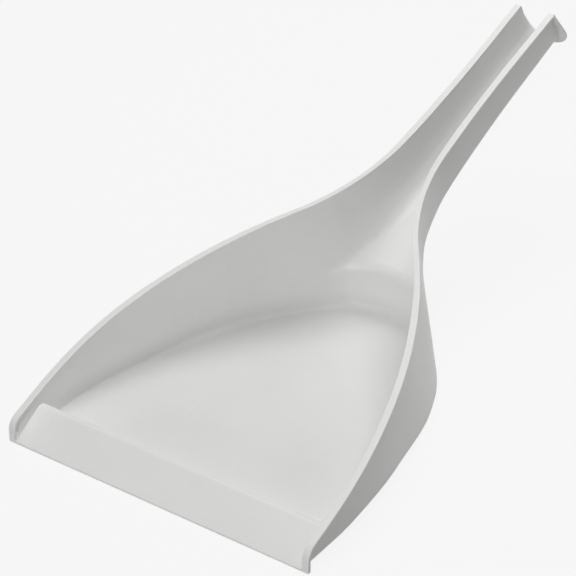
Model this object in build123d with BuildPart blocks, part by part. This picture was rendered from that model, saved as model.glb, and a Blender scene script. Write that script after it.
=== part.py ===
"""Hand dustpan, moulded in one piece, divided into its natural sections.

X runs across the pan, Y from the front edge towards the handle, Z up.
The origin is the middle of the footprint, on the surface that the pan lies on.
"""

import os
from math import atan2, ceil, cos, degrees, radians, sin, sqrt, tan

from build123d import *

# Sheet thicknesses
WALL = 2.4
FLOOR = 2.4
RIM_WIDTH = 4.6
RIM_THICKNESS = 2.6

# Plan outline of the rim's outer edge, drawn square to the walls
PAN_WIDTH = 220.0
SIDE_STRAIGHT = 32.0
SIDE_RUN = 18.0
NECK_RADIUS = 152.0
NECK_BLEND = 3.5
GRIP_RADIUS = 1500.0
GRIP_WAIST = 30.0
WAIST_REACH = 398.0
GRIP_FLARE = 0.5

# The walls all lean forward by this angle from upright
WALL_LEAN = 21.0

# Side view of the rim: three straight runs, distances from the front edge
RIM_FRONT_HEIGHT = 13.9
RIM_FRONT_RADIUS = 10.0
FRONT_RIM_SLOPE = 21.6
FRONT_RIM_END = 84.0
PAN_RIM_SLOPE = 17.2
PAN_RIM_END = 220.0
GRIP_RIM_SLOPE = 18.4
RIM_BEND_RADIUS = 900.0

# Front ramp, a bent sheet that is hollow underneath
RAMP_LIP = 1.3
RAMP_CREST_REACH = 25.5
RAMP_CREST_HEIGHT = 16.9
RAMP_CREST_RADIUS = 4.0
RAMP_HEEL_REACH = 35.0
RAMP_SHEET = 2.2

# Round back of the pan, inside face at the floor
BACK_REACH = 250.0
BACK_RADIUS = 66.0
BACK_FLANK = 45.0
BACK_LEAN = 8.0

# Floor of the handle's channel, in the plane square to the walls
CHANNEL_KNEE_REACH = 290.0
CHANNEL_KNEE_DEPTH = 40.2
CHANNEL_KNEE_BLEND = 26.0
CHANNEL_NECK_SLOPE = 13.0
CHANNEL_GRIP_SLOPE = 0.6
CHANNEL_CORNER = 6.0
CHANNEL_PITCH = 12.0
CHANNEL_EASE = 0.1

# Sides of the channel: upright down to a bend, then leaning in by this much at the floor
SILL_LEAN_IN = 2.6
NECK_LEAN_IN = 8.0
GRIP_LEAN_IN = 6.2
NECK_BEND_DEPTH = 20.0
GRIP_BEND_DEPTH = 30.0

# How far before the knee each of these changes starts, and how long it takes
NECK_LEAN_START = 66.0
BEND_START = 45.0
GRIP_LEAN_START = 15.0
SIDE_CHANGE = 45.0

# End of the handle
HANDLE_REACH = 427.4
END_LEAN = 39.0
FLANGE_THICKNESS = 2.2
FLANGE_OVERHANG = 3.0
FLANGE_BULGE = 3.0

# Room by which cutting shapes run past the object
OVERRUN = 60.0

# Heights of the rim at the ends of its straight runs
FRONT_END_HEIGHT = RIM_FRONT_HEIGHT + FRONT_RIM_END * tan(radians(FRONT_RIM_SLOPE))
PAN_RISE = (PAN_RIM_END - FRONT_RIM_END) * tan(radians(PAN_RIM_SLOPE))
PAN_END_HEIGHT = FRONT_END_HEIGHT + PAN_RISE
GRIP_RISE = tan(radians(GRIP_RIM_SLOPE))
HANDLE_HEIGHT = PAN_END_HEIGHT + (HANDLE_REACH - PAN_RIM_END) * GRIP_RISE

# Where the rim ends, measured along and square to the plane of the outline
LEAN = radians(WALL_LEAN)
END_REACH = HANDLE_REACH * cos(LEAN) + HANDLE_HEIGHT * sin(LEAN)
END_LEVEL = HANDLE_HEIGHT * cos(LEAN) - HANDLE_REACH * sin(LEAN)

# Depth of the channel and of the flange, measured down the handle's end face
END_SKEW = radians(END_LEAN - WALL_LEAN)
GRIP_FALL = tan(radians(CHANNEL_GRIP_SLOPE))
END_FLOOR_DROP = END_LEVEL + CHANNEL_KNEE_DEPTH - GRIP_FALL * (END_REACH - CHANNEL_KNEE_REACH)
CHANNEL_DROP = END_FLOOR_DROP / (cos(END_SKEW) + GRIP_FALL * sin(END_SKEW))
FLANGE_DROP = CHANNEL_DROP + WALL + FLANGE_OVERHANG

# Overall length in plan, and the front edge's place in the frame
LENGTH = HANDLE_REACH + FLANGE_DROP * sin(radians(END_LEAN))
FRONT_Y = -LENGTH / 2

# Outline, viewed square to the walls: a bowed side, a straight run, the hollow of
# the neck and the long hollow of the grip, each tangent to the next
BLEND = radians(NECK_BLEND)
FLARE = radians(GRIP_FLARE)
GRIP_CENTRE = (GRIP_WAIST / 2 + GRIP_RADIUS, WAIST_REACH)
NECK_CENTRE = (
    GRIP_CENTRE[0] - (GRIP_RADIUS - NECK_RADIUS) * cos(BLEND),
    GRIP_CENTRE[1] - (GRIP_RADIUS - NECK_RADIUS) * sin(BLEND),
)

# The bow of the side is as round as it takes for its straight run to meet the neck
NECK_ASIDE = NECK_CENTRE[0] - PAN_WIDTH / 2
NECK_AHEAD = NECK_CENTRE[1] - SIDE_STRAIGHT
BOW_SPAN = NECK_ASIDE**2 + NECK_AHEAD**2 - NECK_RADIUS**2 - SIDE_RUN**2
SIDE_RADIUS = BOW_SPAN / (2 * (NECK_RADIUS - NECK_ASIDE))
SIDE_CENTRE = (PAN_WIDTH / 2 - SIDE_RADIUS, SIDE_STRAIGHT)
CENTRE_LINE = atan2(NECK_AHEAD, NECK_CENTRE[0] - SIDE_CENTRE[0])
TURN = CENTRE_LINE - atan2(SIDE_RUN, SIDE_RADIUS + NECK_RADIUS)

# Planes: square to the walls, the side view and the end of the handle
DRAW = Plane(origin=(0, FRONT_Y, 0), x_dir=(1, 0, 0), z_dir=(0, -sin(LEAN), cos(LEAN)))
SIDE = Plane(origin=(0, FRONT_Y, 0), x_dir=(0, 1, 0), z_dir=(1, 0, 0))
GROUND = Plane(origin=(0, FRONT_Y, 0))
END = Plane(
    origin=(0, FRONT_Y + HANDLE_REACH, HANDLE_HEIGHT),
    x_dir=(1, 0, 0),
    z_dir=(0, cos(radians(END_LEAN)), sin(radians(END_LEAN))),
)
FLANGE_FACE = END.offset(-FLANGE_THICKNESS)
NECK_END = GRIP_CENTRE[1] - GRIP_RADIUS * sin(BLEND)
NECK_FACE = Plane(origin=DRAW.from_local_coords((0, NECK_END, 0)), x_dir=(1, 0, 0), z_dir=DRAW.y_dir)
BACK_RISE = Vector(0, -sin(radians(BACK_LEAN)), cos(radians(BACK_LEAN)))

# Reach of the cutting shapes
WIDE = PAN_WIDTH + OVERRUN
TALL = HANDLE_HEIGHT + OVERRUN
FAR = END_REACH + OVERRUN


def half_width(reach, inset):
    """Half the outline's width at a distance from the front edge."""
    side_radius = SIDE_RADIUS - inset
    neck_radius = NECK_RADIUS + inset
    grip_radius = GRIP_RADIUS + inset
    side_end = SIDE_CENTRE[1] + side_radius * sin(TURN)
    neck_start = NECK_CENTRE[1] - neck_radius * sin(TURN)
    neck_end = GRIP_CENTRE[1] - grip_radius * sin(BLEND)
    grip_end = GRIP_CENTRE[1] + grip_radius * sin(FLARE)
    if reach <= side_end:
        return SIDE_CENTRE[0] + sqrt(side_radius**2 - (reach - SIDE_CENTRE[1]) ** 2)
    if reach <= neck_start:
        return SIDE_CENTRE[0] + side_radius * cos(TURN) - (reach - side_end) * tan(TURN)
    if reach <= neck_end:
        return NECK_CENTRE[0] - sqrt(neck_radius**2 - (reach - NECK_CENTRE[1]) ** 2)
    if reach <= grip_end:
        return GRIP_CENTRE[0] - sqrt(grip_radius**2 - (reach - GRIP_CENTRE[1]) ** 2)
    return GRIP_CENTRE[0] - grip_radius * cos(FLARE) + (reach - grip_end) * tan(FLARE)


def wall_prism(inset):
    """Upright block inside an outline parallel to the rim's outer edge."""
    half = PAN_WIDTH / 2 - inset
    with BuildPart() as prism:
        with BuildSketch(DRAW):
            with BuildLine():
                straight = Line((half, -OVERRUN), (half, SIDE_STRAIGHT))
                bow = JernArc(straight @ 1, straight % 1, SIDE_RADIUS - inset, degrees(TURN))
                run = Line(bow @ 1, bow @ 1 + (bow % 1) * SIDE_RUN)
                hollow = degrees(TURN) - NECK_BLEND
                neck = JernArc(run @ 1, run % 1, NECK_RADIUS + inset, -hollow)
                waist = JernArc(neck @ 1, neck % 1, GRIP_RADIUS + inset, -NECK_BLEND - GRIP_FLARE)
                Line(waist @ 1, (half_width(FAR, inset), FAR))
                Line((half_width(FAR, inset), FAR), (0, FAR))
                Line((0, -OVERRUN), straight @ 0)
                mirror(about=Plane.YZ)
            make_face()
        extrude(amount=TALL, both=True)
    return prism.part


def block_under_rim(inset):
    """Everything under a line that runs this far inside the rim's side view."""
    far = FAR + inset
    foot = -OVERRUN - inset
    top_end = HANDLE_HEIGHT + (far - HANDLE_REACH) * GRIP_RISE
    with BuildPart() as block:
        with BuildSketch(SIDE):
            with BuildLine():
                Polyline(
                    (0, foot),
                    (0, RIM_FRONT_HEIGHT),
                    (FRONT_RIM_END, FRONT_END_HEIGHT),
                    (PAN_RIM_END, PAN_END_HEIGHT),
                    (far, top_end),
                    (far, foot),
                    close=True,
                )
            make_face()
            front, first_bend, second_bend = vertices().filter_by(lambda v: v.Y > 0).sort_by(Axis.X)[:3]
            fillet(front, RIM_FRONT_RADIUS)
            fillet([first_bend, second_bend], RIM_BEND_RADIUS)
            if inset:
                offset(amount=-inset, kind=Kind.INTERSECTION, mode=Mode.REPLACE)
        extrude(amount=WIDE, both=True)
    return block.part


def bowl_block(growth):
    """Everything in front of the pan's round back, open wide towards the front."""
    radius = BACK_RADIUS + growth
    centre = BACK_REACH - BACK_RADIUS
    flank = radians(BACK_FLANK)
    reach = (centre + OVERRUN + radius * sin(flank)) / cos(flank)
    with BuildPart() as block:
        with BuildSketch(GROUND):
            with BuildLine():
                arc = CenterArc((0, centre), radius, BACK_FLANK, 180 - 2 * BACK_FLANK)
                right = PolarLine(arc @ 0, reach, BACK_FLANK - 90)
                left = PolarLine(arc @ 1, reach, -90 - BACK_FLANK)
                Line(right @ 1, left @ 1)
            make_face()
        extrude(amount=TALL, dir=BACK_RISE, both=True)
    return block.part


def channel_level(reach):
    """Level of the channel's floor: it climbs the neck, then follows the grip."""
    ahead = reach - CHANNEL_KNEE_REACH
    climb = tan(radians(CHANNEL_NECK_SLOPE))
    if ahead <= -CHANNEL_KNEE_BLEND:
        return ahead * climb - CHANNEL_KNEE_DEPTH
    if ahead >= CHANNEL_KNEE_BLEND:
        return ahead * GRIP_FALL - CHANNEL_KNEE_DEPTH
    sag = (GRIP_FALL - climb) * (ahead**2 + CHANNEL_KNEE_BLEND**2) / (4 * CHANNEL_KNEE_BLEND)
    return ahead * (climb + GRIP_FALL) / 2 + sag - CHANNEL_KNEE_DEPTH


def channel_stations():
    """Evenly spaced places along the handle, from inside the pan to past its end."""
    first = SIDE_CENTRE[1] + SIDE_RADIUS * sin(TURN) - CHANNEL_PITCH
    last = END_REACH + OVERRUN / 2
    steps = ceil((last - first) / CHANNEL_PITCH)
    return [first + (last - first) * step / steps for step in range(steps + 1)]


def ease(reach, start):
    """Smooth step from 0 to 1 that starts this far before the channel's knee."""
    share = min(max((reach - CHANNEL_KNEE_REACH + start) / SIDE_CHANGE, 0), 1)
    return share * share * (3 - 2 * share)


def channel_side(reach):
    """Level at which the channel's side bends, and how far it leans in at the floor."""
    depth = NECK_BEND_DEPTH + (GRIP_BEND_DEPTH - NECK_BEND_DEPTH) * ease(reach, BEND_START)
    lean_in = SILL_LEAN_IN + (NECK_LEAN_IN - SILL_LEAN_IN) * ease(reach, NECK_LEAN_START)
    lean_in += (GRIP_LEAN_IN - NECK_LEAN_IN) * ease(reach, GRIP_LEAN_START)
    return -depth, lean_in


def channel_block(inset, sink, corner):
    """Block along the handle with leaning sides and a flat floor, lofted through its sections."""
    with BuildPart() as block:
        for reach in channel_stations():
            half = half_width(reach, inset)
            floor = channel_level(reach) - sink
            bend, lean_in = channel_side(reach)
            foot = half - lean_in
            place = DRAW.from_local_coords((0, reach, 0))
            with BuildSketch(Plane(origin=place, x_dir=(1, 0, 0), z_dir=-DRAW.y_dir)) as section:
                with BuildLine():
                    Polyline(
                        (-half, OVERRUN), (-half, bend), (-foot, floor),
                        (foot, floor), (half, bend), (half, OVERRUN),
                        close=True,
                    )
                make_face()
                fillet(section.vertices().sort_by(Axis.Y)[:2], corner)
        loft()
    return block.part


# Blocks that bound the sections: inside the walls, to their outer faces, to the rim's edge
inside = wall_prism(RIM_WIDTH)
skin = wall_prism(RIM_WIDTH - WALL)
brim = wall_prism(0)

# Under the rim's top face and under its lower face
under_top = block_under_rim(0)
under_rim = block_under_rim(RIM_THICKNESS)

# In front of the round back's inner face and of its outer face
bowl = bowl_block(0)
bowl_skin = bowl_block(WALL)

# Inside the handle's channel, a little wider than the walls above it, and out to its outer face
channel = channel_block(RIM_WIDTH - CHANNEL_EASE, 0, CHANNEL_CORNER)
channel_skin = channel_block(RIM_WIDTH - WALL, WALL, CHANNEL_CORNER + WALL)

# Flat floor with the round back
with BuildPart() as pan_floor:
    with BuildSketch(GROUND):
        with Locations((0, RAMP_HEEL_REACH + LENGTH / 2)):
            Rectangle(WIDE, LENGTH)
    extrude(amount=FLOOR)
    add(inside, mode=Mode.INTERSECT)
    add(bowl, mode=Mode.INTERSECT)

# Raised ramp behind the front edge
with BuildPart() as front_ramp:
    with BuildSketch(SIDE):
        with BuildLine():
            Polyline(
                (0, -RAMP_SHEET),
                (0, RAMP_LIP),
                (RAMP_CREST_REACH, RAMP_CREST_HEIGHT),
                (RAMP_HEEL_REACH, FLOOR),
                (RAMP_HEEL_REACH, -RAMP_SHEET),
                close=True,
            )
        make_face()
        fillet(vertices().sort_by(Axis.Y)[-1], RAMP_CREST_RADIUS)
        offset(amount=-RAMP_SHEET, kind=Kind.INTERSECTION, mode=Mode.SUBTRACT)
        with Locations((RAMP_HEEL_REACH / 2, -RAMP_SHEET / 2)):
            Rectangle(RAMP_HEEL_REACH, RAMP_SHEET, mode=Mode.SUBTRACT)
    extrude(amount=WIDE, both=True)
    add(inside, mode=Mode.INTERSECT)

# Curved side walls
with BuildPart() as right_wall:
    add(skin)
    add(inside, mode=Mode.SUBTRACT)
    add(under_rim, mode=Mode.INTERSECT)
    add(bowl_skin, mode=Mode.INTERSECT)
    split(bisect_by=GROUND)
    split(bisect_by=Plane.YZ)

with BuildPart() as left_wall:
    mirror(right_wall.part, about=Plane.YZ)

# Round wall behind the floor, up to the sill of the handle
with BuildPart() as back_wall:
    add(bowl_skin)
    add(bowl, mode=Mode.SUBTRACT)
    add(inside, mode=Mode.INTERSECT)
    add(under_rim, mode=Mode.INTERSECT)
    add(channel, mode=Mode.SUBTRACT)
    split(bisect_by=GROUND)

# Open channel of the handle: the flaring neck, then the waisted grip
with BuildPart() as neck:
    add(channel_skin)
    add(channel, mode=Mode.SUBTRACT)
    add(bowl_skin, mode=Mode.SUBTRACT)
    add(under_rim, mode=Mode.INTERSECT)
    split(bisect_by=NECK_FACE, keep=Keep.BOTTOM)

with BuildPart() as grip:
    add(channel_skin)
    add(channel, mode=Mode.SUBTRACT)
    add(under_rim, mode=Mode.INTERSECT)
    split(bisect_by=NECK_FACE)
    split(bisect_by=FLANGE_FACE, keep=Keep.BOTTOM)

# Lips along the tops of the walls and down their front ends
with BuildPart() as right_rim:
    add(brim)
    add(inside, mode=Mode.SUBTRACT)
    add(under_top, mode=Mode.INTERSECT)
    add(under_rim, mode=Mode.SUBTRACT)
    split(bisect_by=FLANGE_FACE, keep=Keep.BOTTOM)
    split(bisect_by=GROUND)
    split(bisect_by=Plane.YZ)

with BuildPart() as left_rim:
    mirror(right_rim.part, about=Plane.YZ)

# Collar round the end of the handle
with BuildPart() as end_flange:
    top_half = half_width(END_REACH, 0)
    bulge_half = top_half + FLANGE_BULGE
    with BuildSketch(FLANGE_FACE):
        with BuildLine():
            bottom = CenterArc((0, FLANGE_DROP - bulge_half), bulge_half, 0, 180)
            Polyline(
                bottom @ 1, (-top_half, 0), (-top_half, -OVERRUN), (top_half, -OVERRUN),
                (top_half, 0), bottom @ 0,
            )
        make_face()
    extrude(amount=FLANGE_THICKNESS)
    add(under_top, mode=Mode.INTERSECT)
    add(channel, mode=Mode.SUBTRACT)

SECTIONS = {
    "pan_floor": pan_floor,
    "front_ramp": front_ramp,
    "left_wall": left_wall,
    "right_wall": right_wall,
    "back_wall": back_wall,
    "neck": neck,
    "grip": grip,
    "left_rim": left_rim,
    "right_rim": right_rim,
    "end_flange": end_flange,
}

os.makedirs("parts", exist_ok=True)
for section_name, section in SECTIONS.items():
    section.part.label = section_name
    export_step(section.part, f"parts/{section_name}.step")
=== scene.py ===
"""Looks of a one-piece moulded hand dustpan, modelled over its packed sections.

Shapes are worked out in millimetres from the middle of the front edge: X across, Y
towards the handle, Z up. Meshes go into the frame, and into metres, when they are made.
The moulding is one sheet with an inner and an outer face, and each section is a block of it.
"""

from math import atan2, cos, pi, radians, sin, sqrt, tan

import bpy
import numpy as np
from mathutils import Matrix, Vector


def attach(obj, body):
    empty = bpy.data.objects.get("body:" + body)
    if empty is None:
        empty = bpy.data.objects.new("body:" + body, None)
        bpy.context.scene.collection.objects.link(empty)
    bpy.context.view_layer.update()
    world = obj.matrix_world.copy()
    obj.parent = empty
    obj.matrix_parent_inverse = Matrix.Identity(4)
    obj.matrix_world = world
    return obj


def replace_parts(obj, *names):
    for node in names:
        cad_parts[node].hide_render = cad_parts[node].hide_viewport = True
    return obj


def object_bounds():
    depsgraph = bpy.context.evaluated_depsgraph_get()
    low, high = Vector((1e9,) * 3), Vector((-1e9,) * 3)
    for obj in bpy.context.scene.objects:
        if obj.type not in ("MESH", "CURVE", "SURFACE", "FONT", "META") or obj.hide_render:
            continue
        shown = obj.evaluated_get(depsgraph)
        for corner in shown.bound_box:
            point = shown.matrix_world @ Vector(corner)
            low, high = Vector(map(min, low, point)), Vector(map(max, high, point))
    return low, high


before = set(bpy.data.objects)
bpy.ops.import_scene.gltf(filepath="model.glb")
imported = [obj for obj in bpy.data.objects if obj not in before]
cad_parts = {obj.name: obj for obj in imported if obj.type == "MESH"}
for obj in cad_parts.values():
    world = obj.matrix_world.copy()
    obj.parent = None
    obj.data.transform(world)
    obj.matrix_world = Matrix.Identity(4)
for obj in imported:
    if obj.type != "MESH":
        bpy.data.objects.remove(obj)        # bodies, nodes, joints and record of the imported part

CAD_LOW, CAD_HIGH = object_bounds()
MM = 0.001
FRONT_Y = CAD_LOW.y / MM

# Sheet thicknesses
WALL = 2.4
FLOOR = 2.4
RIM_WIDTH = 4.6
RIM_THICKNESS = 2.6
NECK_RIM_WIDTH = 3.4

# Plan outline of the rim's outer edge, drawn square to the walls
PAN_WIDTH = (CAD_HIGH.x - CAD_LOW.x) / MM
SIDE_STRAIGHT = 32.0
SIDE_RUN = 18.0
NECK_RADIUS = 152.0
NECK_BLEND = radians(3.5)
GRIP_RADIUS = 1500.0
GRIP_WAIST = 30.0
WAIST_REACH = 398.0
GRIP_FLARE = radians(0.5)

# The walls all lean forward by this angle from upright
LEAN = radians(21.0)

# Side view of the rim: three straight runs, distances from the front edge
RIM_FRONT_HEIGHT = 13.9
RIM_FRONT_RADIUS = 10.0
FRONT_RIM_SLOPE = radians(21.6)
FRONT_RIM_END = 84.0
PAN_RIM_SLOPE = radians(17.2)
PAN_RIM_END = 220.0
GRIP_RIM_SLOPE = radians(18.4)
RIM_BEND_RADIUS = 900.0

# How far the rim's line runs on past the handle's end, and the run in which its sections turn to it
RIM_OVERRUN = 40.0
END_TURN_RUN = 18.0

# Front ramp, a bent sheet that is hollow underneath
RAMP_LIP = 1.3
RAMP_CREST_REACH = 25.5
RAMP_CREST_HEIGHT = 16.9
RAMP_CREST_RADIUS = 4.0
RAMP_HEEL_REACH = 35.0
RAMP_HEEL_FILLET = 3.0
RAMP_SHEET = 2.2
RAMP_TOE_RADIUS = 0.4
RAMP_NOSE_RADIUS = 0.8

# Ends of the ramp: gap to the rounding of the walls' feet, reach into the walls, and fillet
RAMP_SIDE_GAP = 0.4
RAMP_TUCK = 0.8
RAMP_END_FILLET = 1.8

# How far outside the rounding of the walls' feet still counts as inside
FOOT_SLACK = 0.02

# How far the ramp's heel keeps clear of the planes of the floor's faces
RAMP_SINK = 0.05

# Steps of the ramp's mesh
RAMP_COLUMNS = 25
RAMP_FILLET_STEPS = 9

# Round back of the pan, inside face at the floor
BACK_REACH = 250.0
BACK_RADIUS = 66.0
BACK_FLANK = radians(45.0)
BACK_LEAN = radians(8.0)

# Floor of the handle's channel, in the plane square to the walls
CHANNEL_KNEE_REACH = 290.0
CHANNEL_KNEE_DEPTH = 40.2
CHANNEL_KNEE_BLEND = 26.0
CHANNEL_NECK_SLOPE = tan(radians(13.0))
CHANNEL_GRIP_SLOPE = tan(radians(0.6))

# Sides of the channel: upright down to a bend, then leaning in by this much at the floor
SILL_LEAN_IN = 2.6
NECK_LEAN_IN = 8.0
GRIP_LEAN_IN = 6.2
NECK_BEND_DEPTH = 20.0
GRIP_BEND_DEPTH = 30.0

# Draft of the handle's walls, which close in below the rim
HANDLE_DRAFT = tan(radians(3.5))

# How far before the knee each of these changes starts, and how long it takes
NECK_LEAN_START = 66.0
BEND_START = 45.0
GRIP_LEAN_START = 15.0
SIDE_CHANGE = 45.0

# End of the handle
HANDLE_REACH = 427.4
END_LEAN = radians(39.0)
FLANGE_THICKNESS = 2.2
FLANGE_OVERHANG = 3.0
FLANGE_BULGE = 3.0
FLANGE_EDGE = 0.9
MOUTH_FLARE = radians(30.0)
MOUTH_EDGE = 0.5
MOUTH_FADE = 8.0

# Stretches of reach in the outline's plane along which a form changes
RIM_THINS = (170.0, 225.0)
RIM_THICKENS = (265.0, 325.0)
DRAFT_GROWS = (205.0, 280.0)
CORNER_SHRINKS = (215.0, 262.0)
ROWS_TURN_SQUARE = (45.0, 120.0)

# Stretches behind the front edge along which a form changes, and a height above the floor
FLOOR_THICKENS = (4.0, 14.0)
POST_FOOT_ENDS = (8.0, 20.0)
RAMP_FOOT_ENDS = (34.0, 70.0)
BACK_FOOT_STARTS = (110.0, 175.0)
SPREAD_CHANGES = (110.0, 190.0)
SPREAD_HEIGHT = 45.0
RAMP_FILLET_GROWS = (3.0, 12.0)
RAMP_FILLET_FADES = (17.0, RAMP_CREST_REACH)

# Share of the floor's thickness that is left at the front edge
FRONT_FLOOR_SHARE = 0.1

# Roundings of the rim's edges
RIM_INNER_EDGE = 0.5
RIM_OUTER_EDGE = 0.7
RIM_LOWER_EDGE = 0.5

# Greys of the plastic
PLASTIC_GREY = (0.82, 0.82, 0.81, 1)
PLASTIC_SHADE = (0.79, 0.79, 0.78, 1)
PLASTIC_SPECK = (0.72, 0.72, 0.70, 1)
PLASTIC_SCUFF = (0.86, 0.86, 0.85, 1)
# Paler grey for the rounded edges: partly edge wear, partly a painted highlight
PLASTIC_EDGE_SHEEN_AND_WEAR = (0.88, 0.88, 0.87, 1)

# Finish of the plastic, and the scales of its patterns in turns a metre
PLASTIC_ROUGHNESS = 0.4
PLASTIC_IOR = 1.46
CLOUD_SCALE = 13.0
FLECK_SCALE = 420.0
GRAIN_SCALE = 1500.0
SCUFF_SCALES = (520.0, 26.0, 520.0)
GRAIN_STRENGTH = 0.22
GRAIN_DEPTH = 0.00012

# Lamps by name: place, width and power, all aimed at one point, and the light of world and floor
LAMPS = (
    ("top", (0.0, 0.1, 1.7), 1.4, 17.0),
    ("back", (-0.2, 0.9, 1.5), 1.2, 7.0),
    ("right", (1.4, 0.2, 0.8), 1.2, 3.6),
    ("front", (0.1, -1.7, 0.15), 0.5, 11.0),
)
LAMP_AIM = (0.0, 0.0, 0.05)
WORLD_STRENGTH = 0.02
FLOOR_GREY = (0.45, 0.45, 0.45, 1)
FLOOR_GLOW = 0.88

# Camera: place in millimetres from the middle of the front edge, and focal length in pixels
CAMERA_PLACE = (613.6, -729.3, 716.4)
CAMERA_AZIMUTH = radians(35.345)
CAMERA_ELEVATION = radians(31.0)
FOCAL_PIXELS = 2050.0
FRAME_PIXELS = 576.0
SENSOR_WIDTH = 36.0

# Stage floor: half its width and how far it lies under the pan, in metres, and its roughness
STAGE_HALF = 6.0
STAGE_DROP = 0.0002
STAGE_ROUGHNESS = 0.8

# Heights of the rim at the ends of its straight runs
FRONT_END_HEIGHT = RIM_FRONT_HEIGHT + FRONT_RIM_END * tan(FRONT_RIM_SLOPE)
PAN_END_HEIGHT = FRONT_END_HEIGHT + (PAN_RIM_END - FRONT_RIM_END) * tan(PAN_RIM_SLOPE)
HANDLE_HEIGHT = PAN_END_HEIGHT + (HANDLE_REACH - PAN_RIM_END) * tan(GRIP_RIM_SLOPE)
END_REACH = HANDLE_REACH * cos(LEAN) + HANDLE_HEIGHT * sin(LEAN)
END_LEVEL = HANDLE_HEIGHT * cos(LEAN) - HANDLE_REACH * sin(LEAN)
END_SKEW = END_LEAN - LEAN

# Depth of the flange, measured down the handle's end face
END_FLOOR_DROP = END_LEVEL + CHANNEL_KNEE_DEPTH - CHANNEL_GRIP_SLOPE * (END_REACH - CHANNEL_KNEE_REACH)
CHANNEL_DROP = END_FLOOR_DROP / (cos(END_SKEW) + CHANNEL_GRIP_SLOPE * sin(END_SKEW))
FLANGE_DROP = CHANNEL_DROP + WALL + FLANGE_OVERHANG

# Arc centres of the outline, each arc tangent to the next
GRIP_CENTRE = (GRIP_WAIST / 2 + GRIP_RADIUS, WAIST_REACH)
NECK_CENTRE = (
    GRIP_CENTRE[0] - (GRIP_RADIUS - NECK_RADIUS) * cos(NECK_BLEND),
    GRIP_CENTRE[1] - (GRIP_RADIUS - NECK_RADIUS) * sin(NECK_BLEND),
)
NECK_ASIDE = NECK_CENTRE[0] - PAN_WIDTH / 2
NECK_AHEAD = NECK_CENTRE[1] - SIDE_STRAIGHT
BOW_SPAN = NECK_ASIDE**2 + NECK_AHEAD**2 - NECK_RADIUS**2 - SIDE_RUN**2
SIDE_RADIUS = BOW_SPAN / (2 * (NECK_RADIUS - NECK_ASIDE))
SIDE_CENTRE = PAN_WIDTH / 2 - SIDE_RADIUS
TURN = atan2(NECK_AHEAD, NECK_CENTRE[0] - SIDE_CENTRE) - atan2(SIDE_RUN, SIDE_RADIUS + NECK_RADIUS)
NECK_END = GRIP_CENTRE[1] - GRIP_RADIUS * sin(NECK_BLEND)

# Spacing of the sheet's grid: gaps beside a corner, then even shares
NEAR = np.array([0, 0.5, 1.1, 1.8, 2.7, 3.8, 5.2, 7.0, 9.5])
NEAR_ROOM = 26.0
FLOOR_SHARES = 18
WALL_SHARES = 12
ARC_STEPS = 24

# Steps up the rim's front posts, round their arcs, round the mouth and round the collar's edge
POST_STEPS = 7
POST_ARC_STEPS = 9
MOUTH_STEPS = 6
FLANGE_EDGE_STEPS = 12

# Settling of points onto a face: rounds, longest move in a round, and least square of a slope
SETTLE_ROUNDS = 8
LONGEST_MOVE = 3.0
LEAST_SLOPE_SQUARE = 0.05


class Face:
    """One face of the sheet: how far it lies outside the inner face, its floor and its roundings.

    Corners round the turn from the walls to the back, in the pan and along the handle. Feet are
    the fillets of the walls at the floor: at the front posts, under the ramp, half way and at the
    back. Spreads are how far the walls stand out at the floor, in front and at the back.
    """

    def __init__(self, skin, floor, neck_round, sill, corners, feet, spreads):
        self.skin = skin
        self.floor = floor
        self.neck_round = neck_round
        self.sill = sill
        self.corners = corners
        self.feet = feet
        self.spreads = spreads


INNER = Face(
    skin=0.0,
    floor=FLOOR,
    neck_round=4.0,
    sill=4.5,
    corners=(14.0, 3.0),
    feet=(3.0, 0.0, 1.6, 6.0),
    spreads=(-0.8, 0.0),
)
OUTER = Face(
    skin=WALL,
    floor=0.0,
    neck_round=8.0,
    sill=6.0,
    corners=(12.0, 3.0),
    feet=(5.0, 5.0, 7.0, 1.6),
    spreads=(-0.8, 1.5),
)


def blend(value, start, end):
    """Smooth step from 0 at the start to 1 at the end."""
    share = np.clip((value - start) / (end - start), 0, 1)
    return share * share * (3 - 2 * share)


def to_draw(y, z):
    """Distance along the outline's plane, and level above it."""
    return y * cos(LEAN) + z * sin(LEAN), z * cos(LEAN) - y * sin(LEAN)


def to_world(reach, level):
    """Distance behind the front edge, and height, of a place in the outline's plane."""
    return reach * cos(LEAN) - level * sin(LEAN), reach * sin(LEAN) + level * cos(LEAN)


def half_width(reach, inset):
    """Half the outline's width at a distance from the front edge."""
    side = SIDE_RADIUS - inset
    neck = NECK_RADIUS + inset
    grip = GRIP_RADIUS + inset
    side_end = SIDE_STRAIGHT + side * sin(TURN)
    neck_start = NECK_CENTRE[1] - neck * sin(TURN)
    neck_end = GRIP_CENTRE[1] - grip * sin(NECK_BLEND)
    grip_end = GRIP_CENTRE[1] + grip * sin(GRIP_FLARE)
    bow = np.clip(reach, SIDE_STRAIGHT, side_end) - SIDE_STRAIGHT
    hollow = np.clip(reach, neck_start, neck_end) - NECK_CENTRE[1]
    waist = np.clip(reach, neck_end, grip_end) - GRIP_CENTRE[1]
    on_side = SIDE_CENTRE + np.sqrt(side**2 - bow**2)
    on_run = SIDE_CENTRE + side * cos(TURN) - (reach - side_end) * tan(TURN)
    on_neck = NECK_CENTRE[0] - np.sqrt(neck**2 - hollow**2)
    on_grip = GRIP_CENTRE[0] - np.sqrt(grip**2 - waist**2)
    on_grip = on_grip + np.maximum(reach - grip_end, 0) * tan(GRIP_FLARE)
    places = [reach <= side_end, reach <= neck_start, reach <= neck_end]
    return np.select(places, [on_side, on_run, on_neck], on_grip)


def rim_width(reach):
    """Width of the rim, which thins out round the neck."""
    thin = blend(reach, *RIM_THINS) - blend(reach, *RIM_THICKENS)
    return RIM_WIDTH + (NECK_RIM_WIDTH - RIM_WIDTH) * thin


def wall_half(reach, face):
    """Half the width between the two walls, at one face of the sheet."""
    return half_width(reach, rim_width(reach) - face.skin)


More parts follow.
